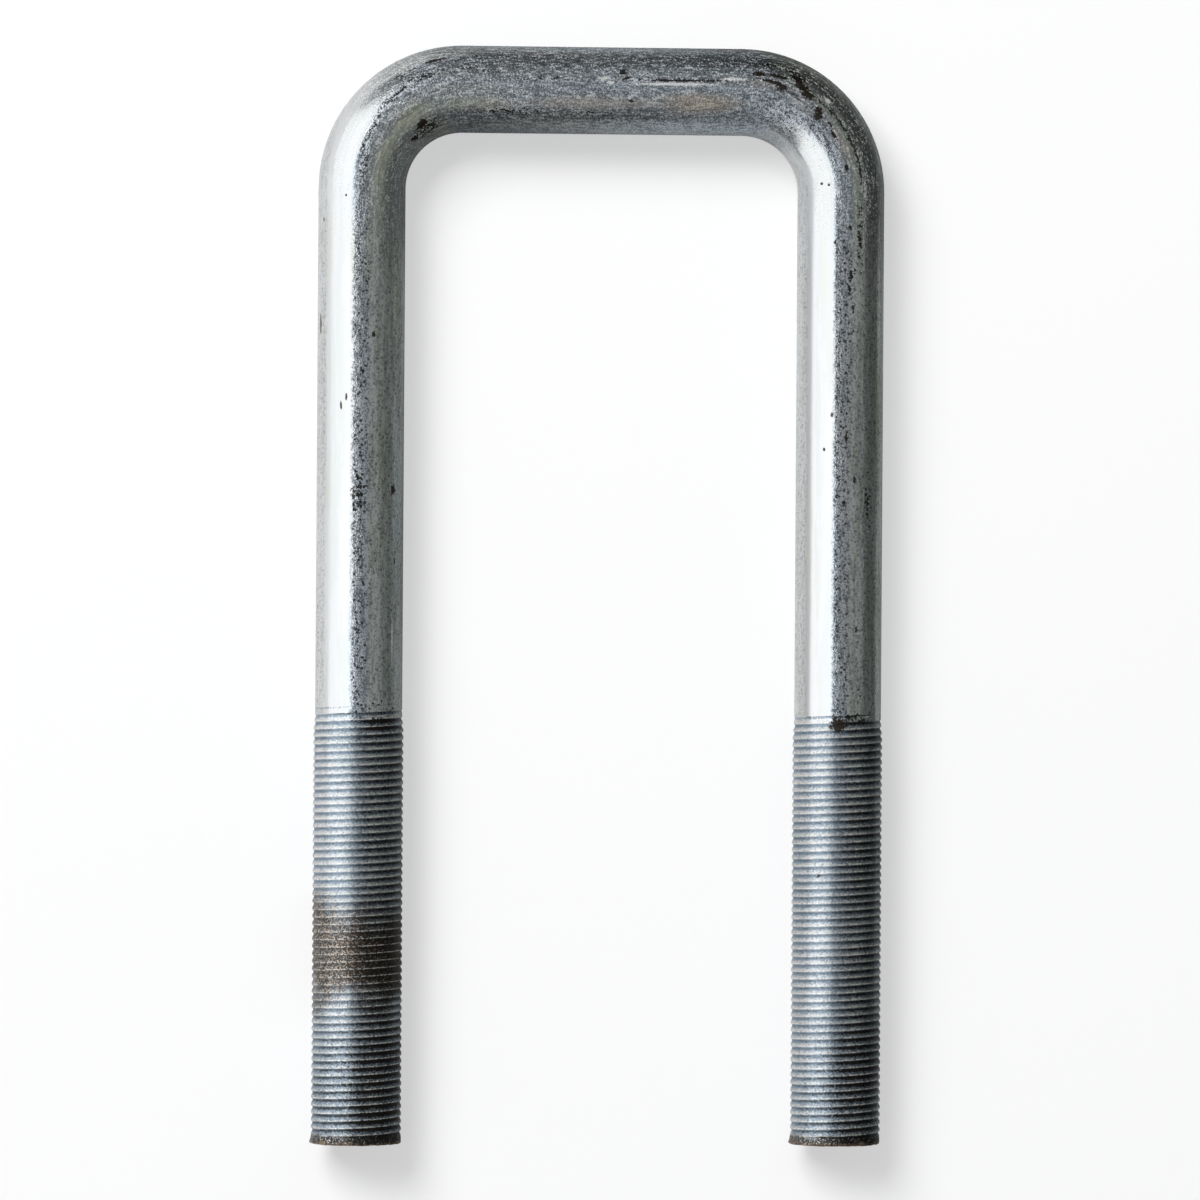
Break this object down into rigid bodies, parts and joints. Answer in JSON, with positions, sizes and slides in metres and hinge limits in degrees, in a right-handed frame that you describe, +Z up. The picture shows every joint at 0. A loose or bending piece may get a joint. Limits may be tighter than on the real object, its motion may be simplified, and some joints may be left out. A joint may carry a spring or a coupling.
{
  "type": "square u-bolt",
  "caption": "Round steel bar bent to a square U, with a threaded foot on each leg, for clamping a beam, an axle or a spring stack to a plate.",
  "frame": {"origin": "on the resting surface, under the middle of the bolt's outline", "axes": "+X across the legs, +Y along the legs from the threaded feet to the bridge, +Z up from the surface that the bolt lies on"},
  "size_m": [0.1206, 0.232, 0.019],
  "materials": {
    "zinc_steel": "worn zinc coating, satin, with drawn streaks, dark pits and rust spots"
  },
  "bodies": {
    "root": {"u_bolt": "zinc_steel"}
  },
  "joints": []
}
